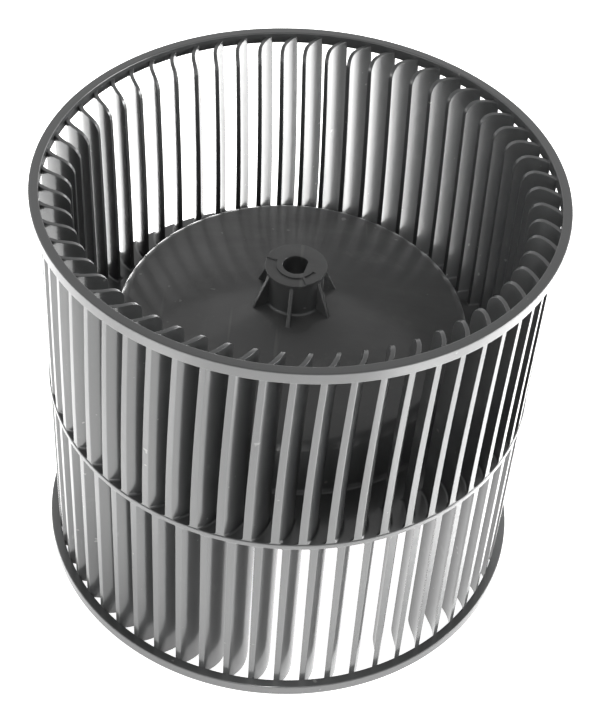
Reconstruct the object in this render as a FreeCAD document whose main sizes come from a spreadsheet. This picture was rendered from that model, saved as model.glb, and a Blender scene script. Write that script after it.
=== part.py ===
# Double-inlet centrifugal blower wheel, moulded in one piece.
# Frame: millimetres, +Z up along the shaft, origin at the centre of the lower end ring's rim.
import FreeCAD
import Part
import Sketcher

import math
import os

SIZES = [
    ("wheel_diameter", 156.0, "outside of the two end rings"),
    ("wheel_height", 143.0, "from rim to rim"),
    ("ring_height", 3.8, "end ring, along the axis"),
    ("ring_overhang", 2.7, "how far the end rings stand proud of the blades"),
    ("ring_seat", 0.25, "how deep the blade edges are sunk in the end rings"),
    ("plate_level", 71.0, "top face of the middle plate over the lower rim"),
    ("plate_thickness", 2.0, "middle plate"),
    ("plate_overhang", 0.3, "how far the middle plate stands proud of the blades"),
    ("blade_count", 59, "blades in each row"),
    ("blade_depth", 9.4, "blade, measured along the wheel's radius"),
    ("blade_curve", 12.8, "radius of the blade's curved middle line"),
    ("blade_lean", 48.5, "degrees from radial at the outer edge, against the clock"),
    ("blade_root", 1.6, "blade thickness at the middle plate"),
    ("blade_tip", 1.0, "blade thickness at the end ring"),
    ("blade_inset", 1.5, "how far the blade ends stay below the rims"),
    ("blade_flats", 3, "flats that follow each curved side of a blade"),
    ("blade_corner", 4.5, "rounding of the blade's inner corner at the end ring"),
    ("corner_cuts", 2, "straight cuts that follow that rounding"),
    ("row_phase", 269.6, "degrees round the wheel of an upper blade's foot"),
    ("row_bend", 1.65, "degrees that the upper blades have yielded at their ends"),
    ("row_stagger", 2.65, "degrees that the lower row is turned against the upper"),
    ("crown_radius", 54.3, "raised centre of the web, at its rounded rim"),
    ("crown_height", 19.6, "rim of the raised centre over the middle plate"),
    ("crown_flare", 1.2, "how much wider the raised centre's wall is at its foot"),
    ("crown_round", 4.0, "outer rounding of the raised centre's rim"),
    ("crown_cuts", 2, "straight bands that follow that rounding"),
    ("crown_foot", 1.5, "bevel where the wall meets the middle plate"),
    ("web_thickness", 2.0, "web and its wall"),
    ("web_rise", 8.0, "how much the web climbs from its rim to the hub"),
    ("hub_diameter", 17.6, "hub below its cap"),
    ("hub_stand", 12.5, "hub's top over the web beside it"),
    ("hub_length", 20.0, "hub, along the shaft"),
    ("cap_diameter", 18.8, "flat cap on top of the hub"),
    ("cap_height", 0.9, "cap"),
    ("step_radius", 6.0, "inner edge of the step in the cap"),
    ("step_depth", 0.45, "step in the cap, and the small slot beside it"),
    ("step_start", 165.0, "degrees round the hub where the step starts"),
    ("step_sweep", 125.0, "degrees that the step covers"),
    ("key_length", 3.6, "small slot in the cap"),
    ("key_width", 1.0, "small slot in the cap"),
    ("key_reach", 6.3, "small slot's distance from the axis"),
    ("key_angle", 315.0, "degrees round the hub of the small slot"),
    ("bore_diameter", 8.0, "shaft bore"),
    ("bore_flat", 3.0, "flat of the bore, from the axis"),
    ("bore_angle", 347.0, "degrees round the hub that the flat faces"),
    ("entry_diameter", 8.5, "round mouth of the bore at the hub's lower end"),
    ("entry_depth", 8.0, "how far that mouth reaches up the hub"),
    ("gusset_count", 6, "gussets round the hub"),
    ("gusset_reach", 13.7, "foot of a gusset, from the axis"),
    ("gusset_drop", 2.2, "top of a gusset under the hub's top"),
    ("gusset_thickness", 1.3, "gusset"),
    ("gusset_angle", 264.7, "degrees round the hub of the first gusset"),
]

doc = FreeCAD.newDocument("blower_wheel")
sheet = doc.addObject("Spreadsheet::Sheet", "Sizes")
for row, (alias, value, meaning) in enumerate(SIZES, start=1):
    sheet.set("A%d" % row, meaning)
    sheet.set("B%d" % row, str(value))
    sheet.setAlias("B%d" % row, alias)
doc.recompute()


# Lengths that several features share, as formulas over the sheet
RADIUS = "Sizes.wheel_diameter / 2"
BLADE_OUTER = "(%s - Sizes.ring_overhang)" % RADIUS
BLADE_INNER = "(%s - Sizes.blade_depth)" % BLADE_OUTER
RING_INNER = "(%s - Sizes.ring_seat)" % BLADE_OUTER
PLATE_TOP = "Sizes.plate_level"
PLATE_LOW = "(Sizes.plate_level - Sizes.plate_thickness)"
PLATE_MIDDLE = "(Sizes.plate_level - Sizes.plate_thickness / 2)"
CROWN_TOP = "(Sizes.plate_level + Sizes.crown_height)"
WEB_TOP = "(%s + Sizes.web_rise)" % CROWN_TOP
HUB_TOP = "(%s + Sizes.hub_stand)" % WEB_TOP
HUB_LOW = "(%s - Sizes.hub_length)" % HUB_TOP
CAP_LOW = "(%s - Sizes.cap_height)" % HUB_TOP
UPPER_END = "(Sizes.wheel_height - Sizes.blade_inset)"
LOWER_END = "Sizes.blade_inset"
ROW_SHIFT = "(%s * tan(Sizes.row_bend * 1 deg))" % BLADE_OUTER
HUB = "(Sizes.hub_diameter / 2)"
CAP = "(Sizes.cap_diameter / 2)"
BORE = "Sizes.bore_diameter / 2"
CLEAR = "1"


def size(formula):
    """Value of a formula over the sheet."""
    value = sheet.evalExpression(str(formula))
    return float(getattr(value, "Value", value))


def datum(body, role):
    """One of the body's own origin planes or axes."""
    return [f for f in body.Origin.OriginFeatures if f.Role == role][0]


def new_sketch(body, name, role, level=None, turn=None):
    """Sketch on an origin plane, raised along Z or turned about it where asked."""
    sketch = body.newObject("Sketcher::SketchObject", name)
    sketch.AttachmentSupport = (datum(body, role), "")
    sketch.MapMode = "FlatFace"
    if level is not None:
        sketch.setExpression("AttachmentOffset.Base.z", level)
    if turn is not None:
        shaft = FreeCAD.Vector(0, 1, 0) if role == "XZ_Plane" else FreeCAD.Vector(0, 0, 1)
        turned = FreeCAD.Rotation(shaft, size(turn))
        sketch.AttachmentOffset = FreeCAD.Placement(FreeCAD.Vector(), turned)
        sketch.setExpression("AttachmentOffset.Rotation.Angle", turn)
    return sketch


def bind(sketch, index, label, formula):
    """Name a constraint and tie it to the sheet."""
    sketch.renameConstraint(index, label)
    sketch.setExpression("Constraints." + label, formula)


def pin(sketch, label, element, point, across, along):
    """Hold a point of the sketch at one or two formulas from the sketch's origin."""
    for axis, formula in (("X", across), ("Y", along)):
        if formula is None:
            continue
        value = size(formula)
        if value == 0:
            line = -2 if axis == "X" else -1
            sketch.addConstraint(Sketcher.Constraint("PointOnObject", element, point, line))
            continue
        kind = "Distance" + axis
        index = sketch.addConstraint(Sketcher.Constraint(kind, -1, 1, element, point, value))
        bind(sketch, index, label + axis.lower(), formula)


def outline(sketch, corners):
    """Closed polygon whose corners are pairs of formulas."""
    spots = [FreeCAD.Vector(size(a), size(b), 0) for a, b in corners]
    count = len(spots)
    for k in range(count):
        sketch.addGeometry(Part.LineSegment(spots[k], spots[(k + 1) % count]), False)
    for k in range(count):
        sketch.addConstraint(Sketcher.Constraint("Coincident", k, 2, (k + 1) % count, 1))
    for k, (across, along) in enumerate(corners):
        pin(sketch, "p%d" % k, k, 1, across, along)


def rounding(across, along, radius, start, stop, cuts=1):
    """Points along a corner's rounding, from one outward direction to another.

    One cut makes it a bevel, and a negative radius fills an inner corner.
    """
    half = "((%s - %s) / 2)" % (stop, start)
    middle = "((%s + %s) / 2)" % (stop, start)
    points = []
    for k in range(cuts + 1):
        angle = "(%s + (%s - %s) * %d / %d)" % (start, stop, start, k, cuts)
        points.append((
            "%s + %s * (cos(%s) - cos(%s) / cos(%s))" % (across, radius, angle, middle, half),
            "%s + %s * (sin(%s) - sin(%s) / cos(%s))" % (along, radius, angle, middle, half),
        ))
    return points


def spin(body, name, sketch):
    """Turn a section all the way round the shaft's axis."""
    feature = body.newObject("PartDesign::Revolution", name)
    feature.Profile = sketch
    feature.ReferenceAxis = (sketch, ["V_Axis"])
    feature.Angle = 360
    doc.recompute()
    return feature


def pattern(body, name, feature, count):
    """Repeat a feature round the shaft's axis."""
    polar = body.newObject("PartDesign::PolarPattern", name)
    if feature is None:
        polar.TransformMode = "Whole shape"
    else:
        polar.Originals = [feature]
    polar.Axis = (datum(body, "Z_Axis"), [""])
    polar.Angle = 360
    polar.setExpression("Occurrences", count)
    body.Tip = polar
    doc.recompute()
    return polar


def cut(body, name, sketch, depth=None):
    """Pocket a sketch downwards to a depth, or right through."""
    before = body.Shape.Volume
    pocket = body.newObject("PartDesign::Pocket", name)
    pocket.Profile = sketch
    if depth is None:
        pocket.Type = "ThroughAll"
    else:
        pocket.setExpression("Length", depth)
    doc.recompute()
    if not body.Shape.Volume < before:
        raise RuntimeError(name + " cuts nothing")


def add_web(body):
    """Middle plate, raised crown, climbing web and hub, as one turned section."""
    wall = "Sizes.web_thickness"
    foot = "(Sizes.crown_radius + Sizes.crown_flare)"
    edge = "%s + Sizes.plate_overhang" % BLADE_OUTER
    lean = "atan(Sizes.crown_flare / Sizes.crown_height)"
    climb = "(90 deg - atan(Sizes.web_rise / (Sizes.crown_radius - %s)))" % HUB
    rim_cuts = int(size("Sizes.crown_cuts"))
    section = [
        ("0", HUB_LOW),
        (HUB, HUB_LOW),
        (HUB, "%s - %s" % (WEB_TOP, wall)),
        ("Sizes.crown_radius - %s" % wall, "%s - %s" % (CROWN_TOP, wall)),
        ("%s - %s" % (foot, wall), PLATE_LOW),
        (edge, PLATE_LOW),
        (edge, PLATE_TOP),
    ]
    section += rounding(foot, PLATE_TOP, "-Sizes.crown_foot", "90 deg", lean)
    section += rounding("Sizes.crown_radius", CROWN_TOP, "Sizes.crown_round", lean, climb, rim_cuts)
    section += [(HUB, WEB_TOP), (HUB, CAP_LOW), (CAP, CAP_LOW), (CAP, HUB_TOP), ("0", HUB_TOP)]
    sketch = new_sketch(body, "WebSection", "XZ_Plane")
    outline(sketch, section)
    spin(body, "Web", sketch)


def add_ring(body, name, low, high):
    """One end ring, square inside where the blades enter it."""
    sketch = new_sketch(body, name + "Section", "XZ_Plane")
    outline(sketch, [(RING_INNER, low), (RADIUS, low), (RADIUS, high), (RING_INNER, high)])
    spin(body, name, sketch)


def add_gussets(body):
    """Triangular gussets between the hub and the web."""
    inside = "%s - %s" % (HUB, CLEAR)
    fall = "Sizes.web_rise * (Sizes.gusset_reach - %s) / (Sizes.crown_radius - %s)" % (HUB, HUB)
    surface = "%s - %s" % (WEB_TOP, fall)
    buried = "%s - Sizes.web_thickness / 2" % surface
    top = "%s - Sizes.gusset_drop" % HUB_TOP
    sketch = new_sketch(body, "GussetOutline", "XZ_Plane", turn="Sizes.gusset_angle")
    outline(sketch, [
        (inside, buried),
        ("Sizes.gusset_reach", buried),
        ("Sizes.gusset_reach", surface),
        (HUB, top),
        (inside, top),
    ])
    gusset = body.newObject("PartDesign::Pad", "Gusset")
    gusset.Profile = sketch
    gusset.Midplane = True
    gusset.setExpression("Length", "Sizes.gusset_thickness")
    doc.recompute()
    pattern(body, "Gussets", gusset, "Sizes.gusset_count")


def arc(radius, start, stop):
    """Arc about the sketch's origin, its angles in degrees."""
    circle = Part.Circle(FreeCAD.Vector(), FreeCAD.Vector(0, 0, 1), radius)
    return Part.ArcOfCircle(circle, math.radians(start), math.radians(stop))


def on_ray(radius, angle):
    """Point of the sketch at a radius and an angle in degrees."""
    return FreeCAD.Vector(
        radius * math.cos(math.radians(angle)), radius * math.sin(math.radians(angle)), 0)


def hold_arc(sketch, index, label, formula):
    """Centre an arc on the sketch's origin and give it its radius."""
    sketch.addConstraint(Sketcher.Constraint("Coincident", index, 3, -1, 1))
    radius = sketch.addConstraint(Sketcher.Constraint("Radius", index, size(formula)))
    bind(sketch, radius, label, formula)


def cut_bore(body):
    """Shaft bore with one flat, and the round mouth under it."""
    sketch = new_sketch(body, "BoreOutline", "XY_Plane", HUB_TOP, "Sizes.bore_angle")
    radius = size(BORE)
    flat = math.degrees(math.acos(size("Sizes.bore_flat") / radius))
    sketch.addGeometry(arc(radius, flat, 360 - flat), False)
    sketch.addGeometry(Part.LineSegment(on_ray(radius, -flat), on_ray(radius, flat)), False)
    hold_arc(sketch, 0, "round", BORE)
    sketch.addConstraint(Sketcher.Constraint("Coincident", 0, 2, 1, 1))
    sketch.addConstraint(Sketcher.Constraint("Coincident", 0, 1, 1, 2))
    sketch.addConstraint(Sketcher.Constraint("Vertical", 1))
    pin(sketch, "flat", 1, 1, "Sizes.bore_flat", None)
    cut(body, "Bore", sketch)

    mouth = new_sketch(body, "MouthOutline", "XY_Plane", "%s + Sizes.entry_depth" % HUB_LOW)
    entry = "Sizes.entry_diameter / 2"
    mouth.addGeometry(Part.Circle(FreeCAD.Vector(), FreeCAD.Vector(0, 0, 1), size(entry)), False)
    hold_arc(mouth, 0, "mouth", entry)
    cut(body, "Mouth", mouth)


def cut_cap(body):
    """Step round part of the hub's cap, and the small slot beside it."""
    step = new_sketch(body, "StepOutline", "XY_Plane", HUB_TOP, "Sizes.step_start")
    outside = "%s + %s" % (CAP, CLEAR)
    inner = size("Sizes.step_radius")
    outer = size(outside)
    sweep = size("Sizes.step_sweep")
    step.addGeometry(arc(inner, 0, sweep), False)
    step.addGeometry(arc(outer, 0, sweep), False)
    step.addGeometry(Part.LineSegment(on_ray(inner, 0), on_ray(outer, 0)), False)
    step.addGeometry(Part.LineSegment(on_ray(inner, sweep), on_ray(outer, sweep)), False)
    hold_arc(step, 0, "inner", "Sizes.step_radius")
    hold_arc(step, 1, "outer", outside)
    for line, end in ((2, 1), (3, 2)):
        step.addConstraint(Sketcher.Constraint("Coincident", 0, end, line, 1))
        step.addConstraint(Sketcher.Constraint("Coincident", 1, end, line, 2))
    step.addConstraint(Sketcher.Constraint("Horizontal", 2))
    step.addConstraint(Sketcher.Constraint("PointOnObject", -1, 1, 3))
    span = step.addConstraint(Sketcher.Constraint("Angle", 2, 1, 3, 1, math.radians(sweep)))
    bind(step, span, "span", "Sizes.step_sweep * 1 deg")
    cut(body, "Step", step, "Sizes.step_depth")

    slot = new_sketch(body, "SlotOutline", "XY_Plane", HUB_TOP, "Sizes.key_angle")
    near = "Sizes.key_reach - Sizes.key_width / 2"
    far = "Sizes.key_reach + Sizes.key_width / 2"
    left = "Sizes.key_length / 2"
    outline(slot, [(near, "-" + left), (far, "-" + left), (far, left), (near, left)])
    cut(body, "Slot", slot, "Sizes.step_depth")


def blade_section(body, name):
    """Curved section of a blade at the middle plate, its sides followed by a few flats."""
    lean = "(Sizes.blade_lean * 1 deg)"
    centre = "(%s - Sizes.blade_curve * sin(%s))" % (BLADE_OUTER, lean)
    flats = int(size("Sizes.blade_flats"))
    corners = []
    for side, steps in (("+", range(flats + 1)), ("-", range(flats, -1, -1))):
        radius = "(Sizes.blade_curve %s Sizes.blade_root / 2)" % side
        first = "acos((%s - %s) / %s)" % (BLADE_OUTER, centre, radius)
        last = "acos((%s - %s) / %s)" % (BLADE_INNER, centre, radius)
        for k in steps:
            angle = "(%s + (%s - %s) * %d / %d)" % (first, last, first, k, flats)
            across = "%s + %s * cos(%s)" % (centre, radius, angle)
            along = "%s * sin(%s) - Sizes.blade_curve * cos(%s)" % (radius, angle, lean)
            corners.append((across, along))
    sketch = new_sketch(body, name, "XY_Plane", PLATE_MIDDLE)
    outline(sketch, corners)
    return sketch


def thin_blade(body, name, length):
    """Draft both sides of a blade, so that it is thinnest at the end ring."""
    base = body.Tip
    sides = []
    for k, face in enumerate(base.Shape.Faces, start=1):
        normal = face.normalAt(0, 0)
        if abs(face.CenterOfMass.z - size(PLATE_MIDDLE)) < 1e-6:
            root = "Face%d" % k
        elif abs(normal.z) < 0.5 and abs(normal.x) < 1 - 1e-6:
            sides.append("Face%d" % k)
    for k, edge in enumerate(base.Shape.Edges, start=1):
        if abs(edge.tangentAt(edge.FirstParameter).z) > 0.9:
            upright = "Edge%d" % k
    draft = body.newObject("PartDesign::Draft", name)
    draft.Base = (base, sides)
    draft.NeutralPlane = (base, [root])
    draft.PullDirection = (base, [upright])
    draft.setExpression("Angle", "atan((Sizes.blade_root - Sizes.blade_tip) / 2 / %s)" % length)
    doc.recompute()
    if draft.Shape.Volume > base.Shape.Volume:
        draft.Reversed = True
        doc.recompute()


def cut_corner(body, name, end, outward):
    """Round off a blade's inner corner beside an end ring."""
    beyond = "%s %s %s" % (end, "+" if outward > 0 else "-", CLEAR)
    nearer = "%s - %s" % (BLADE_INNER, CLEAR)
    ending = "90 deg" if outward > 0 else "270 deg"
    cuts = int(size("Sizes.corner_cuts"))
    corners = rounding(BLADE_INNER, end, "Sizes.blade_corner", "180 deg", ending, cuts)
    corners += [(corners[-1][0], beyond), (nearer, beyond), (nearer, corners[0][1])]
    sketch = new_sketch(body, name + "Outline", "XZ_Plane")
    outline(sketch, corners)
    pocket = body.newObject("PartDesign::Pocket", name)
    pocket.Profile = sketch
    pocket.Midplane = True
    pocket.setExpression("Length", "Sizes.blade_depth * 2")
    doc.recompute()


def blade_row(name, end, outward, turn, shift=None):
    """Row of curved blades from the middle plate to an end ring, leaning where they yielded."""
    row = doc.addObject("PartDesign::Body", name)
    row.AllowCompound = True
    length = "((%s - %s) * %d)" % (end, PLATE_MIDDLE, outward)
    blade = row.newObject("PartDesign::Pad", name + "Blade")
    blade.Profile = blade_section(row, name + "Section")
    blade.Reversed = outward < 0
    blade.setExpression("Length", length)
    if shift is not None:
        blade.UseCustomVector = True
        blade.AlongSketchNormal = True
        blade.Direction = FreeCAD.Vector(0, size(shift) / size(length), 1)
        blade.setExpression("Direction.y", "%s / %s" % (shift, length))
    doc.recompute()
    thin_blade(row, name + "Draft", length)
    cut_corner(row, name + "Corner", end, outward)
    pattern(row, name + "Blades", None, "Sizes.blade_count")
    row.setExpression("Placement.Rotation.Angle", turn)
    doc.recompute()
    return row


core = doc.addObject("PartDesign::Body", "Core")
core.AllowCompound = True
add_web(core)
add_gussets(core)
cut_bore(core)
cut_cap(core)
add_ring(core, "LowerRing", "0", "Sizes.ring_height")
add_ring(core, "UpperRing", "Sizes.wheel_height - Sizes.ring_height", "Sizes.wheel_height")
upper_row = blade_row("UpperRow", UPPER_END, 1, "Sizes.row_phase", ROW_SHIFT)
lower_row = blade_row("LowerRow", LOWER_END, -1, "Sizes.row_phase + Sizes.row_stagger")

wheel = doc.addObject("Part::MultiFuse", "blower_wheel")
wheel.Label = "blower_wheel"
wheel.Shapes = [core, upper_row, lower_row]
doc.recompute()

for item in doc.Objects:
    if "Invalid" in item.State or "Error" in item.State:
        raise RuntimeError("%s could not be built: %s" % (item.Name, item.State))
if wheel.Shape.isNull() or not wheel.Shape.isValid():
    raise RuntimeError("the wheel's shape is not valid")
if len(wheel.Shape.Solids) != 1:
    raise RuntimeError("the wheel is not one piece")

os.makedirs("parts", exist_ok=True)
wheel.Shape.exportStep("parts/blower_wheel.step")
print("blower_wheel", wheel.Shape.BoundBox, "volume", round(wheel.Shape.Volume))
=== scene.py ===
import math

import bmesh
import bpy
from mathutils import Matrix, Vector


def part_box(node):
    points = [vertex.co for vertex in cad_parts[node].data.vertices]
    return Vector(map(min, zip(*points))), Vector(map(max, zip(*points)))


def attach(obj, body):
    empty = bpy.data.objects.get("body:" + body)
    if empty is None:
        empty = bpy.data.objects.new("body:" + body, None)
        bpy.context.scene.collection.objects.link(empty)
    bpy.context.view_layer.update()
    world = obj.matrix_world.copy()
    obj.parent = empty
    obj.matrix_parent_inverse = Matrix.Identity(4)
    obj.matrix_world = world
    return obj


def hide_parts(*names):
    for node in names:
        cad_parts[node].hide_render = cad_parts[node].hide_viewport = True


NODE = "blower_wheel"
PIECE = "blower_wheel_moulding"
MM = 0.001

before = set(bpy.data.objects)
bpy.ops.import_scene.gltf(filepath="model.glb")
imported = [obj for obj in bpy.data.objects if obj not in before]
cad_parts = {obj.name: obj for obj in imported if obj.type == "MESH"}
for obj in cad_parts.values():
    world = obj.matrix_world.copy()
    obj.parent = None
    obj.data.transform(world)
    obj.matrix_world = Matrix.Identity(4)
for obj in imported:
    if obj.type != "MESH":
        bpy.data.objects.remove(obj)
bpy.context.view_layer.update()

# The wheel's sizes are in millimetres and all angles in radians; its outside is read from the frame
LOW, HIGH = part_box(NODE)
RADIUS = round(HIGH.x / MM, 2)
HEIGHT = round((HIGH.z - LOW.z) / MM, 2)

# End rings: they stand proud of the blades, whose edges are sunk in them
RING_HEIGHT = 3.8
RING_OVERHANG = 2.7
RING_SEAT = 0.25
RING_ROUND = 0.4
RING_LIP_ROUND = 0.3

# Middle plate between the two rows
PLATE_TOP = 71.0
PLATE_THICKNESS = 2.0
PLATE_OVERHANG = 0.3
PLATE_ROUND = 0.4

# Blades: lean is from radial at the outer edge, and depth along the wheel's radius
BLADE_COUNT = 59
BLADE_DEPTH = 9.4
BLADE_CURVE = 12.8
BLADE_LEAN = math.radians(48.5)
BLADE_ROOT = 1.6
BLADE_TIP = 1.2
BLADE_INSET = 1.5
BLADE_CORNER = 4.5
BLADE_EDGE_ROUND = 0.15
BLADE_FILLET = 0.7
ROW_PHASE = math.radians(269.6)
ROW_BEND = math.radians(1.65)
ROW_STAGGER = math.radians(2.65)

# Raised crown with its dished web
CROWN_RADIUS = 54.3
CROWN_HEIGHT = 19.6
CROWN_FLARE = 1.2
CROWN_ROUND = 4.0
CROWN_FOOT = 1.5
WEB_THICKNESS = 2.0
WEB_RISE = 8.0

# Hub, and the cap on it with a shallow step and slot of one depth
HUB_RADIUS = 8.8
HUB_STAND = 12.5
HUB_LENGTH = 20.0
HUB_FOOT_ROUND = 0.9
CAP_RADIUS = 9.4
CAP_HEIGHT = 0.9
CAP_ROUND = 0.15
STEP_RADIUS = 6.0
STEP_DEPTH = 0.45
STEP_START = math.radians(165.0)
STEP_SWEEP = math.radians(125.0)
KEY_LENGTH = 3.6
KEY_WIDTH = 1.0
KEY_REACH = 6.3
KEY_ANGLE = math.radians(315.0)

# Shaft bore with one flat, and its round mouth at the hub's lower end
BORE_RADIUS = 4.0
BORE_FLAT = 3.0
BORE_ANGLE = math.radians(347.0)
BORE_ROUND = 0.3
ENTRY_RADIUS = 4.25
ENTRY_DEPTH = 8.0

# Gussets round the hub, which reach a little way into it
GUSSET_COUNT = 6
GUSSET_REACH = 13.7
GUSSET_DROP = 2.2
GUSSET_THICKNESS = 1.3
GUSSET_ROUND = 0.25
GUSSET_BURIED = 1.0
GUSSET_ANGLE = math.radians(264.7)

BLADE_OUTER = RADIUS - RING_OVERHANG
BLADE_INNER = BLADE_OUTER - BLADE_DEPTH
RING_INNER = BLADE_OUTER - RING_SEAT
PLATE_LOW = PLATE_TOP - PLATE_THICKNESS
CROWN_TOP = PLATE_TOP + CROWN_HEIGHT
WEB_TOP = CROWN_TOP + WEB_RISE
HUB_TOP = WEB_TOP + HUB_STAND
HUB_LOW = HUB_TOP - HUB_LENGTH
KEY_NEAR = KEY_REACH - KEY_WIDTH / 2
KEY_FAR = KEY_REACH + KEY_WIDTH / 2

# How finely the forms are divided
LATHE_STEPS = 240
ROUND_STEPS = 4
SIDE_FLATS = 4
CORNER_FLATS = 6
LENGTH_STEPS = 6
FILLET_SHARES = (0.1, 0.25, 0.5, 1.0)

# Two points this far apart make a step steep, and the margin takes in the bore's whole rounding
EDGE_GAP = 0.04
BORE_MARGIN = 0.01

# Edges that turn more than the first angle are bevelled, and past the second shading stays sharp
ROUND_BEVEL = {"offset_type": "OFFSET", "segments": 2, "profile": 0.5, "affect": "EDGES"}
BEVEL_ANGLE = math.radians(60)
SHARP_ANGLE = math.radians(50)

# Noise patterns of the plastic. A squeeze below 1 draws one out along that axis, and low and high
# are the values between which a patch comes in
CLOUD = dict(scale=45.0, detail=4.0)
STREAK = dict(scale=30.0, detail=3.0, roughness=0.6, squeeze=(1.0, 1.0, 0.18))
SMEAR = dict(low=0.46, high=0.72, scale=28.0, detail=5.0, roughness=0.65, squeeze=(0.7, 1.6, 1.0))
RUBBED = dict(low=0.6, high=0.74, scale=70.0, detail=6.0, roughness=0.7)
SCRATCH = dict(low=0.7, high=0.76, scale=260.0, detail=2.0, squeeze=(1.0, 0.06, 0.3))
SPECK = dict(low=0.76, high=0.8, scale=380.0, detail=1.0)
GRAIN = dict(scale=900.0, detail=2.0)
RIPPLE = dict(scale=60.0, detail=2.0)
CLOUD_SPAN = (0.3, 0.7)

# Plastic: colours, and how much of each mark or film shows
PLASTIC_DARK = (0.066, 0.068, 0.069, 1.0)
PLASTIC_LIGHT = (0.090, 0.092, 0.092, 1.0)
DUST_THIN = (0.070, 0.070, 0.069, 1.0)
DUST_THICK = (0.150, 0.150, 0.146, 1.0)
WORN_PLASTIC = (0.2, 0.2, 0.195, 1.0)
CLOUD_SHARE = 0.6
STREAK_SHARE = 0.4
DUST_COVER = 0.55
RUBBED_COVER = (0.14, 0.3)
SCRATCH_COVER = 0.3
PLASTIC_IOR = 1.5
PLASTIC_SPECULAR = 0.6
PLASTIC_ROUGHNESS = (0.29, 0.36)
DUST_ROUGHNESS = 0.12
RUBBED_ROUGHNESS = 0.08
COAT_ROUGHNESS = 0.15
COAT_WEIGHT = (1.0, 0.3)
GRAIN_SHARE = 0.2
BUMP_STRENGTH = 0.25
BUMP_DEPTH = 0.0002

# Film of dust on the web: the normal's Z over which it grows, the metres from the axis over which
# it ends, and the values of the cloud between which it grows from its thinnest
FILM_SLOPE = (0.8, 0.97)
FILM_RIM = (0.0535, 0.056)
FILM_CLOUD = (0.35, 0.65)
FILM_THINNEST = 0.55

# Camera, fitted to the photograph's circles: its distance in wheel radii, its focal length in pixels
# of a picture of that height, its sensor in millimetres and its reach in metres
CAMERA_DISTANCE = 6.2504
CAMERA_ELEVATION = 0.6747
CAMERA_PAN = -0.0063
CAMERA_TILT = -0.1058
CAMERA_ROLL = -0.0721
FOCAL_PIXELS = 1688.57
PICTURE_HEIGHT = 722.0
SENSOR = 36.0
CAMERA_REACH = 20.0

# Soft boxes, sizes in metres: name, degrees round the wheel, degrees above its middle, watts
LAMPS = [
    ("right_lamp", 0, 14, 17.0),
    ("back_right_lamp", 45, 14, 4.0),
    ("left_lamp", 180, 14, 1.5),
    ("front_left_lamp", 225, 14, 4.0),
    ("front_lamp", 270, 14, 1.0),
    ("back_lamp", 130, 42, 1.0),
]
LAMP_DISTANCE = 1.5
LAMP_SIZE = (0.8, 0.6)

# Spots straight down on the table, each cone ending at the wheel's foot, sizes in metres: name,
# degrees round the wheel, watts
TABLE_SPOTS = [
    ("right_spot", 0, 145.0),
    ("back_spot", 90, 105.0),
    ("left_spot", 180, 75.0),
    ("front_spot", 270, 70.0),
]
SPOT_REACH = 0.55
SPOT_HEIGHT = 1.25
SPOT_CONE = math.radians(41.6)
SPOT_EDGE = 0.04
SPOT_SOFTNESS = 0.02

# Surroundings: strengths, where 1 is white, the values of the direction's Z between which the
# ceiling turns grey, and the floor's sizes in metres
WORLD_LIGHT = 0.3
SKY_TOP = 0.42
CEILING = (0.05, 0.9)
WHITE = (1.0, 1.0, 1.0, 1.0)
PAPER = (0.85, 0.85, 0.845, 1.0)
FLOOR_GLOW = 1.0
FLOOR_SIZE = 12.0
FLOOR_LEVEL = -0.00005


class Builder:
    """Collects closed shells, in millimetres, for one mesh."""

    def __init__(self):
        self.points = []
        self.faces = []

    def add(self, points, faces):
        start = len(self.points)
        self.points += [tuple(p) for p in points]
        self.faces += [tuple(start + k for k in face) for face in faces]

    def add_bmesh(self, shell, matrix):
        shell.verts.index_update()
        points = [matrix @ v.co for v in shell.verts]
        self.add(points, [[v.index for v in face.verts] for face in shell.faces])

    def mesh(self, name):
        data = bpy.data.meshes.new(name)
        data.from_pydata([tuple(c * MM for c in p) for p in self.points], [], self.faces)
        data.update()
        return data


def rounded(corners):
    """Closed outline whose corners, each (r, z, radius), are rounded with arcs."""
    outline = []
    count = len(corners)
    for k, (r, z, radius) in enumerate(corners):
        if radius <= 0:
            outline.append((r, z))
            continue
        here = Vector((r, z))
        before = Vector(corners[k - 1][:2]) - here
        after = Vector(corners[(k + 1) % count][:2]) - here
        half = before.angle(after) / 2
        before.normalize()
        after.normalize()
        centre = here + (before + after).normalized() * (radius / math.sin(half))
        first = here + before * (radius / math.tan(half)) - centre
        last = here + after * (radius / math.tan(half)) - centre
        turn = first.angle_signed(last)
        for j in range(ROUND_STEPS + 1):
            spoke = Matrix.Rotation(-turn * j / ROUND_STEPS, 2) @ first
            outline.append(tuple(centre + spoke))
    return outline


def lathe(builder, outline, bend=None):
    """Turn a closed outline round Z. bend(r, z, angle) may move a point of it."""
    points = []
    faces = []
    count = len(outline)
    for step in range(LATHE_STEPS):
        angle = 2 * math.pi * step / LATHE_STEPS
        for r, z in outline:
            if bend:
                r, z = bend(r, z, angle)
            points.append((r * math.cos(angle), r * math.sin(angle), z))
    for step in range(LATHE_STEPS):
        here = step * count
        there = (step + 1) % LATHE_STEPS * count
        for k in range(count):
            j = (k + 1) % count
            faces.append((here + k, there + k, there + j, here + j))
    builder.add(points, faces)


def ring_outline(rim, lip):
    """Section of an end ring: rim is its free end's level, lip its other end's."""
    return rounded([
        (RADIUS, rim, RING_ROUND),
        (RING_INNER, rim, RING_ROUND),
        (RING_INNER, lip, RING_LIP_ROUND),
        (RADIUS, lip, RING_ROUND),
    ])


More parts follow.
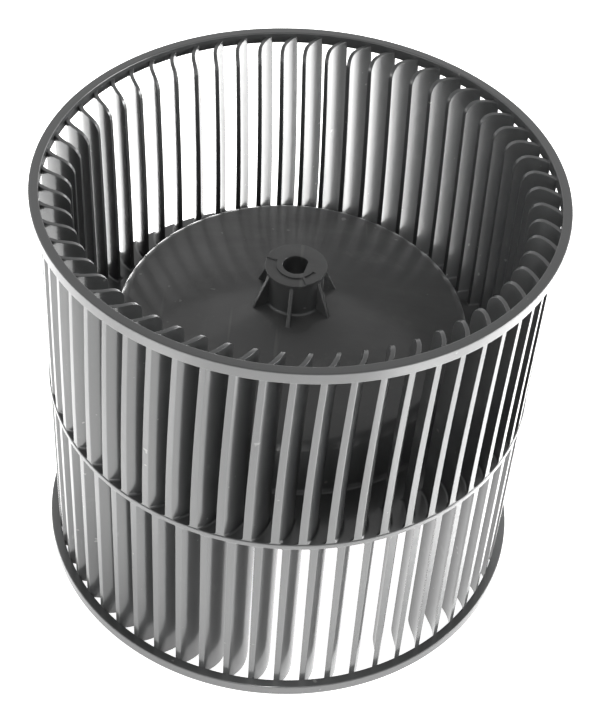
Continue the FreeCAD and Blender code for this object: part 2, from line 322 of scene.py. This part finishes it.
def web_outline():
    """Section of the middle plate, the raised crown, the dished web and the hub."""
    foot = CROWN_RADIUS + CROWN_FLARE
    edge = BLADE_OUTER + PLATE_OVERHANG
    return rounded([
        (BORE_RADIUS, HUB_TOP, BORE_ROUND),
        (KEY_NEAR - EDGE_GAP, HUB_TOP, 0),
        (KEY_NEAR + EDGE_GAP, HUB_TOP, 0),
        (STEP_RADIUS - EDGE_GAP, HUB_TOP, 0),
        (STEP_RADIUS + EDGE_GAP, HUB_TOP, 0),
        (KEY_FAR - EDGE_GAP, HUB_TOP, 0),
        (KEY_FAR + EDGE_GAP, HUB_TOP, 0),
        (CAP_RADIUS, HUB_TOP, CAP_ROUND),
        (CAP_RADIUS, HUB_TOP - CAP_HEIGHT, CAP_ROUND),
        (HUB_RADIUS, HUB_TOP - CAP_HEIGHT, CAP_ROUND),
        (HUB_RADIUS, WEB_TOP, HUB_FOOT_ROUND),
        (CROWN_RADIUS, CROWN_TOP, CROWN_ROUND),
        (foot, PLATE_TOP, CROWN_FOOT),
        (edge, PLATE_TOP, PLATE_ROUND),
        (edge, PLATE_LOW, PLATE_ROUND),
        (foot - WEB_THICKNESS, PLATE_LOW, PLATE_ROUND),
        (CROWN_RADIUS - WEB_THICKNESS, CROWN_TOP - WEB_THICKNESS, CROWN_ROUND - WEB_THICKNESS),
        (HUB_RADIUS, WEB_TOP - WEB_THICKNESS, HUB_FOOT_ROUND),
        (HUB_RADIUS, HUB_LOW, BORE_ROUND),
        (ENTRY_RADIUS, HUB_LOW, BORE_ROUND),
        (ENTRY_RADIUS, HUB_LOW + ENTRY_DEPTH, 0),
        (BORE_RADIUS, HUB_LOW + ENTRY_DEPTH, 0),
    ])


def bend_hub(r, z, angle):
    """Give the bore its flat and the cap its step and slot."""
    away = math.cos(angle - BORE_ANGLE)
    beside_bore = r < BORE_RADIUS + BORE_ROUND + BORE_MARGIN
    in_bore = beside_bore and z > HUB_LOW + ENTRY_DEPTH - EDGE_GAP
    if in_bore and away * BORE_RADIUS > BORE_FLAT:
        r += BORE_FLAT / away - BORE_RADIUS
    if z < HUB_TOP - CAP_HEIGHT / 2:
        return r, z
    if r > STEP_RADIUS and (angle - STEP_START) % (2 * math.pi) < STEP_SWEEP:
        return r, z - STEP_DEPTH
    beside = angle - KEY_ANGLE
    in_slot = KEY_NEAR < r < KEY_FAR and abs(math.sin(beside)) * KEY_REACH < KEY_LENGTH / 2
    if in_slot and math.cos(beside) > 0:
        return r, z - STEP_DEPTH
    return r, z


def blade_columns():
    """Distances from the axis at which a blade is divided, from its outer edge inwards."""
    straight = BLADE_INNER + BLADE_CORNER
    span = BLADE_OUTER - straight
    columns = [BLADE_OUTER - span * k / SIDE_FLATS for k in range(SIDE_FLATS)]
    for k in range(CORNER_FLATS + 1):
        angle = math.pi / 2 * (1 - k / CORNER_FLATS)
        columns.append(BLADE_INNER + BLADE_CORNER * (1 - math.cos(angle)))
    return columns


def blade_levels(length, bend):
    """Heights at which a blade is divided: closely in its fillet, and evenly above it if it bends."""
    levels = [-PLATE_THICKNESS / 2, 0.0] + [BLADE_FILLET * share for share in FILLET_SHARES]
    if bend:
        plain = length - BLADE_CORNER
        levels += [plain * k / LENGTH_STEPS for k in range(1, LENGTH_STEPS)]
    return levels


def straight_blade(length, levels):
    """A blade before it is curved: an even plate along X, its inner corner and free edges rounded."""
    columns = blade_columns()
    grids = []
    shell = bmesh.new()
    for side in (-0.5, 0.5):
        grid = []
        for reach in columns:
            into = max(BLADE_INNER + BLADE_CORNER - reach, 0)
            top = length - BLADE_CORNER + math.sqrt(max(BLADE_CORNER ** 2 - into ** 2, 0))
            grid.append([shell.verts.new((reach, side * BLADE_ROOT, z)) for z in levels + [top]])
        grids.append(grid)
        for a, b in zip(grid[:-1], grid[1:]):
            for k in range(len(levels)):
                shell.faces.new([a[k], b[k], b[k + 1], a[k + 1]])
    rims = []
    for grid in grids:
        rims.append(grid[0] + [column[-1] for column in grid[1:-1]] + grid[-1][::-1])
    for k in range(len(rims[0]) - 1):
        shell.faces.new((rims[0][k], rims[0][k + 1], rims[1][k + 1], rims[1][k]))
    shell.faces.new([column[0] for column in grids[0]] + [column[0] for column in grids[1][::-1]])
    bmesh.ops.recalc_face_normals(shell, faces=shell.faces)
    edges = []
    for edge in shell.edges:
        if edge.calc_face_angle() > BEVEL_ANGLE and max(v.co.z for v in edge.verts) > 0:
            edges.append(edge)
    bmesh.ops.bevel(shell, geom=edges, offset=BLADE_EDGE_ROUND, **ROUND_BEVEL)
    return shell


def curved_point(point, length, bend):
    """Where a straight blade's point lies on the real one: tapered, filleted, curved and yielded."""
    reach, n, z = point
    far = min(max(z / length, 0), 1)
    up = min(max(z / BLADE_FILLET, 0), 1)
    flare = BLADE_FILLET * (1 - math.sqrt(1 - (1 - up) ** 2))
    n *= 1 + (BLADE_TIP / BLADE_ROOT - 1) * far
    n += math.copysign(flare, n)
    reach -= flare * (BLADE_OUTER - reach) / BLADE_DEPTH
    from_centre = reach - BLADE_OUTER + BLADE_CURVE * math.sin(BLADE_LEAN)
    y = math.sqrt((BLADE_CURVE + n) ** 2 - from_centre ** 2) - BLADE_CURVE * math.cos(BLADE_LEAN)
    yielded = Matrix.Rotation(bend * (3 * far ** 2 - far ** 3) / 2, 3, "Z")
    return yielded @ Vector((reach, y, z))


def blade_shell(length, bend):
    """One blade, standing on the plate's face at Z = 0, its foot's outer edge on the X axis.

    bend is the angle about Z that its far end has yielded by, along a bending beam's curve.
    """
    shell = straight_blade(length, blade_levels(length, bend))
    for vert in shell.verts:
        vert.co = curved_point(vert.co, length, bend)
    bmesh.ops.recalc_face_normals(shell, faces=shell.faces)
    return shell


def add_row(builder, blade, level, phase, flip):
    """One row of blades on a face of the middle plate. flip is a matrix that may turn them over."""
    for k in range(BLADE_COUNT):
        turn = Matrix.Rotation(phase + 2 * math.pi * k / BLADE_COUNT, 4, "Z")
        builder.add_bmesh(blade, Matrix.Translation((0, 0, level)) @ turn @ flip)


def add_blades(builder):
    """Both rows of blades."""
    upper = blade_shell(HEIGHT - BLADE_INSET - PLATE_TOP, ROW_BEND)
    lower = blade_shell(PLATE_LOW - BLADE_INSET, 0)
    bmesh.ops.reverse_faces(lower, faces=lower.faces)
    add_row(builder, upper, PLATE_TOP, ROW_PHASE, Matrix())
    add_row(builder, lower, PLATE_LOW, ROW_PHASE + ROW_STAGGER, Matrix.Diagonal((1, 1, -1, 1)))


def add_gussets(builder):
    """Triangular gussets round the hub."""
    slope = WEB_RISE / (CROWN_RADIUS - HUB_RADIUS)
    foot = WEB_TOP - slope * (GUSSET_REACH - HUB_RADIUS)
    buried = foot - WEB_THICKNESS / 2
    inside = HUB_RADIUS - GUSSET_BURIED
    top = HUB_TOP - GUSSET_DROP
    outline = [(inside, buried), (GUSSET_REACH, buried), (GUSSET_REACH, foot),
               (HUB_RADIUS, top), (inside, top)]
    shell = bmesh.new()
    sides = []
    for side in (-0.5, 0.5):
        sides.append([shell.verts.new((r, side * GUSSET_THICKNESS, z)) for r, z in outline])
    shell.faces.new(sides[0])
    shell.faces.new(sides[1][::-1])
    for k in range(len(outline)):
        j = (k + 1) % len(outline)
        shell.faces.new((sides[0][k], sides[0][j], sides[1][j], sides[1][k]))
    bmesh.ops.recalc_face_normals(shell, faces=shell.faces)
    bmesh.ops.bevel(shell, geom=list(shell.edges), offset=GUSSET_ROUND, **ROUND_BEVEL)
    for k in range(GUSSET_COUNT):
        turn = GUSSET_ANGLE + 2 * math.pi * k / GUSSET_COUNT
        builder.add_bmesh(shell, Matrix.Rotation(turn, 4, "Z"))


def make_wheel():
    """The whole moulding as one piece."""
    builder = Builder()
    lathe(builder, web_outline(), bend_hub)
    lathe(builder, ring_outline(0.0, RING_HEIGHT))
    lathe(builder, ring_outline(HEIGHT, HEIGHT - RING_HEIGHT))
    add_gussets(builder)
    add_blades(builder)
    data = builder.mesh(PIECE)
    shell = bmesh.new()
    shell.from_mesh(data)
    bmesh.ops.recalc_face_normals(shell, faces=shell.faces)
    shell.to_mesh(data)
    shell.free()
    data.shade_smooth()
    data.set_sharp_from_angle(angle=SHARP_ANGLE)
    wheel = bpy.data.objects.new(PIECE, data)
    bpy.context.scene.collection.objects.link(wheel)
    weighted = wheel.modifiers.new("normals", "WEIGHTED_NORMAL")
    weighted.keep_sharp = True
    return wheel


class Graph:
    """Node tree of a material or a world, with short ways to add nodes to it."""

    def __init__(self, owner):
        owner.use_nodes = True
        self.owner = owner
        self.nodes = owner.node_tree.nodes
        self.links = owner.node_tree.links

    def link(self, source, target):
        self.links.new(source, target)

    def noise(self, where, scale, detail, roughness=0.5, squeeze=None):
        """Noise over a position."""
        node = self.nodes.new("ShaderNodeTexNoise")
        node.inputs["Scale"].default_value = scale
        node.inputs["Detail"].default_value = detail
        node.inputs["Roughness"].default_value = roughness
        if squeeze:
            where = self.squeezed(where, squeeze)
        self.link(where, node.inputs["Vector"])
        return node.outputs["Fac"]

    def squeezed(self, where, squeeze):
        node = self.nodes.new("ShaderNodeMapping")
        node.inputs["Scale"].default_value = squeeze
        self.link(where, node.inputs["Vector"])
        return node.outputs["Vector"]

    def patches(self, where, low, high, **pattern):
        """Noise as patches: 0 where it is below low, and 1 above high."""
        return self.ranged(self.noise(where, **pattern), low, high)

    def ranged(self, value, low, high, first=0.0, last=1.0):
        """Map a value from low..high to first..last, held at both ends."""
        node = self.nodes.new("ShaderNodeMapRange")
        node.inputs["From Min"].default_value = low
        node.inputs["From Max"].default_value = high
        node.inputs["To Min"].default_value = first
        node.inputs["To Max"].default_value = last
        self.link(value, node.inputs["Value"])
        return node.outputs["Result"]

    def math(self, operation, first, second):
        """One operation on two values, each a number or a socket."""
        node = self.nodes.new("ShaderNodeMath")
        node.operation = operation
        for k, value in enumerate((first, second)):
            if isinstance(value, (int, float)):
                node.inputs[k].default_value = value
            else:
                self.link(value, node.inputs[k])
        return node.outputs["Value"]

    def radius(self, place):
        """Distance from the Z axis."""
        flat = self.nodes.new("ShaderNodeVectorMath")
        flat.operation = "MULTIPLY"
        flat.inputs[1].default_value = (1.0, 1.0, 0.0)
        self.link(place, flat.inputs[0])
        size = self.nodes.new("ShaderNodeVectorMath")
        size.operation = "LENGTH"
        self.link(flat.outputs["Vector"], size.inputs[0])
        return size.outputs["Value"]

    def blend(self, factor, first, second):
        """Colour between two, each a tuple or a socket."""
        node = self.nodes.new("ShaderNodeMix")
        node.data_type = "RGBA"
        self.link(factor, node.inputs["Factor"])
        for key, value in (("A", first), ("B", second)):
            socket = [s for s in node.inputs if s.name == key and s.type == "RGBA"][0]
            if isinstance(value, tuple):
                socket.default_value = value
            else:
                self.link(value, socket)
        return [s for s in node.outputs if s.type == "RGBA"][0]

    def ray(self, name):
        """1 for one kind of ray, such as Is Camera Ray."""
        return self.nodes.new("ShaderNodeLightPath").outputs[name]

    def seen_rays(self):
        """1 for the rays that show the background: camera, glossy and transmission."""
        shown = self.math("MAXIMUM", self.ray("Is Camera Ray"), self.ray("Is Glossy Ray"))
        return self.math("MAXIMUM", shown, self.ray("Is Transmission Ray"))


def dust_film(graph, place, cloud):
    """How dusty a point is: the raised web holds a cloudy film, and the rings and blades stay cleaner."""
    geometry = graph.nodes.new("ShaderNodeNewGeometry")
    normal = graph.nodes.new("ShaderNodeSeparateXYZ")
    graph.link(geometry.outputs["Normal"], normal.inputs["Vector"])
    upward = graph.ranged(normal.outputs["Z"], *FILM_SLOPE)
    middle = graph.ranged(graph.radius(place), *FILM_RIM, 1.0, 0.0)
    cloudy = graph.ranged(cloud, *FILM_CLOUD, FILM_THINNEST, 1.0)
    return graph.math("MULTIPLY", graph.math("MULTIPLY", upward, middle), cloudy)


def plastic_colour(graph, place, cloud, film, rubbed):
    """Flow marks in the plastic, dust over them, and rubbed patches, scratches and specks on top."""
    tone = graph.math("ADD", graph.math("MULTIPLY", cloud, CLOUD_SHARE),
                      graph.math("MULTIPLY", graph.noise(place, **STREAK), STREAK_SHARE))
    plain = graph.blend(tone, PLASTIC_DARK, PLASTIC_LIGHT)
    dust = graph.blend(graph.patches(place, **SMEAR), DUST_THIN, DUST_THICK)
    dusted = graph.blend(graph.math("MULTIPLY", film, DUST_COVER), plain, dust)
    scratch = graph.math("MULTIPLY", graph.patches(place, **SCRATCH), SCRATCH_COVER)
    marks = graph.math("MAXIMUM", scratch, graph.patches(place, **SPECK))
    worn = graph.math("MULTIPLY", rubbed, graph.ranged(film, 0.0, 1.0, *RUBBED_COVER))
    return graph.blend(graph.math("MAXIMUM", worn, marks), dusted, WORN_PLASTIC)


def plastic_roughness(graph, cloud, film, rubbed):
    """A satin skin, duller under dust and where it is rubbed."""
    skin = graph.ranged(cloud, *CLOUD_SPAN, *PLASTIC_ROUGHNESS)
    dull = graph.math("ADD", graph.math("MULTIPLY", film, DUST_ROUGHNESS),
                      graph.math("MULTIPLY", rubbed, RUBBED_ROUGHNESS))
    return graph.math("ADD", skin, dull)


def plastic_bump(graph, place):
    """Shallow ripples of the moulding, with a fine grain."""
    grain = graph.math("MULTIPLY", graph.noise(place, **GRAIN), GRAIN_SHARE)
    height = graph.math("ADD", grain, graph.noise(place, **RIPPLE))
    bump = graph.nodes.new("ShaderNodeBump")
    bump.inputs["Strength"].default_value = BUMP_STRENGTH
    bump.inputs["Distance"].default_value = BUMP_DEPTH
    graph.link(height, bump.inputs["Height"])
    return bump.outputs["Normal"]


def plastic_material():
    """Charcoal moulded plastic with a satin skin, a little dusty and scuffed."""
    graph = Graph(bpy.data.materials.new("charcoal_plastic"))
    shader = graph.nodes["Principled BSDF"]
    shader.inputs["IOR"].default_value = PLASTIC_IOR
    shader.inputs["Specular IOR Level"].default_value = PLASTIC_SPECULAR
    shader.inputs["Coat Roughness"].default_value = COAT_ROUGHNESS
    place = graph.nodes.new("ShaderNodeTexCoord").outputs["Object"]
    cloud = graph.noise(place, **CLOUD)
    film = dust_film(graph, place, cloud)
    rubbed = graph.patches(place, **RUBBED)
    graph.link(plastic_colour(graph, place, cloud, film, rubbed), shader.inputs["Base Color"])
    graph.link(plastic_roughness(graph, cloud, film, rubbed), shader.inputs["Roughness"])
    graph.link(graph.ranged(film, 0.0, 1.0, *COAT_WEIGHT), shader.inputs["Coat Weight"])
    graph.link(plastic_bump(graph, place), shader.inputs["Normal"])
    return graph.owner


def make_camera():
    """The photograph's view. Without pan, tilt and roll it would look at the upper rim's centre."""
    distance = CAMERA_DISTANCE * RADIUS
    place = Vector((0, -distance * math.cos(CAMERA_ELEVATION), distance * math.sin(CAMERA_ELEVATION)))
    forward = -place.normalized()
    right = Vector((1, 0, 0))
    up = right.cross(forward)
    turn = Matrix.Rotation(CAMERA_PAN, 3, up)
    forward, right = turn @ forward, turn @ right
    turn = Matrix.Rotation(CAMERA_TILT, 3, right)
    forward, up = turn @ forward, turn @ up
    turn = Matrix.Rotation(CAMERA_ROLL, 3, forward)
    right, up = turn @ right, turn @ up
    data = bpy.data.cameras.new("camera")
    data.sensor_fit = "VERTICAL"
    data.sensor_height = SENSOR
    data.lens = FOCAL_PIXELS * SENSOR / PICTURE_HEIGHT
    data.clip_end = CAMERA_REACH
    camera = bpy.data.objects.new("camera", data)
    matrix = Matrix((right, up, -forward)).transposed().to_4x4()
    matrix.translation = (place + Vector((0, 0, HEIGHT))) * MM
    camera.matrix_world = matrix
    bpy.context.scene.collection.objects.link(camera)
    bpy.context.scene.camera = camera


def floor_material():
    """White paper: the camera and reflections see it white, and its light keeps the wheel's shadow."""
    graph = Graph(bpy.data.materials.new("white_floor"))
    graph.nodes.remove(graph.nodes["Principled BSDF"])
    output = graph.nodes["Material Output"]
    paper = graph.nodes.new("ShaderNodeBsdfDiffuse")
    paper.inputs["Color"].default_value = PAPER
    glow = graph.nodes.new("ShaderNodeEmission")
    graph.link(graph.math("MULTIPLY", graph.seen_rays(), FLOOR_GLOW), glow.inputs["Strength"])
    both = graph.nodes.new("ShaderNodeAddShader")
    graph.link(paper.outputs["BSDF"], both.inputs[0])
    graph.link(glow.outputs["Emission"], both.inputs[1])
    graph.link(both.outputs["Shader"], output.inputs["Surface"])
    graph.owner.cycles.emission_sampling = "NONE"
    return graph.owner


def make_floor():
    """The table, a hair under the wheel's foot so that their faces don't coincide."""
    bpy.ops.mesh.primitive_plane_add(size=FLOOR_SIZE, location=(0, 0, FLOOR_LEVEL))
    floor = bpy.context.object
    floor.name = "floor"
    floor.data.materials.append(floor_material())


def make_world():
    """White to the camera, with a greyer ceiling in reflections, and dimmer as a light than it looks."""
    world = bpy.data.worlds.new("studio")
    bpy.context.scene.world = world
    world.cycles.sampling_method = "NONE"
    graph = Graph(world)
    backdrop = graph.nodes["Background"]
    backdrop.inputs["Color"].default_value = WHITE
    direction = graph.nodes.new("ShaderNodeTexCoord").outputs["Generated"]
    split = graph.nodes.new("ShaderNodeSeparateXYZ")
    graph.link(direction, split.inputs["Vector"])
    shown = graph.ranged(split.outputs["Z"], *CEILING, 1.0 - WORLD_LIGHT, SKY_TOP - WORLD_LIGHT)
    in_view = graph.math("MULTIPLY", graph.ray("Is Camera Ray"), 1.0 - WORLD_LIGHT)
    added = graph.math("MAXIMUM", in_view, graph.math("MULTIPLY", graph.seen_rays(), shown))
    strength = graph.math("ADD", added, WORLD_LIGHT)
    graph.link(strength, backdrop.inputs["Strength"])


def make_lamps():
    """Soft boxes round the wheel, most of them low."""
    centre = Vector((0, 0, HEIGHT * MM / 2))
    for name, azimuth, elevation, power in LAMPS:
        turn, climb = math.radians(azimuth), math.radians(elevation)
        away = Vector((math.cos(climb) * math.cos(turn), math.cos(climb) * math.sin(turn), math.sin(climb)))
        data = bpy.data.lights.new(name, "AREA")
        data.shape = "RECTANGLE"
        data.size, data.size_y = LAMP_SIZE
        data.energy = power
        lamp = bpy.data.objects.new(name, data)
        lamp.location = centre + away * LAMP_DISTANCE
        lamp.rotation_euler = (-away).to_track_quat("-Z", "Y").to_euler()
        lamp.visible_camera = False
        bpy.context.scene.collection.objects.link(lamp)


def make_table_spots():
    """Spots that light only the table beside the wheel."""
    for name, azimuth, power in TABLE_SPOTS:
        turn = math.radians(azimuth)
        data = bpy.data.lights.new(name, "SPOT")
        data.energy = power
        data.shadow_soft_size = SPOT_SOFTNESS
        data.spot_size = SPOT_CONE
        data.spot_blend = SPOT_EDGE
        spot = bpy.data.objects.new(name, data)
        spot.location = (SPOT_REACH * math.cos(turn), SPOT_REACH * math.sin(turn), SPOT_HEIGHT)
        bpy.context.scene.collection.objects.link(spot)


wheel = make_wheel()
wheel.data.materials.append(plastic_material())
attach(wheel, "root")
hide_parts(NODE)
make_floor()
make_camera()
make_world()
make_lamps()
make_table_spots()
bpy.context.scene.view_settings.view_transform = "Standard"
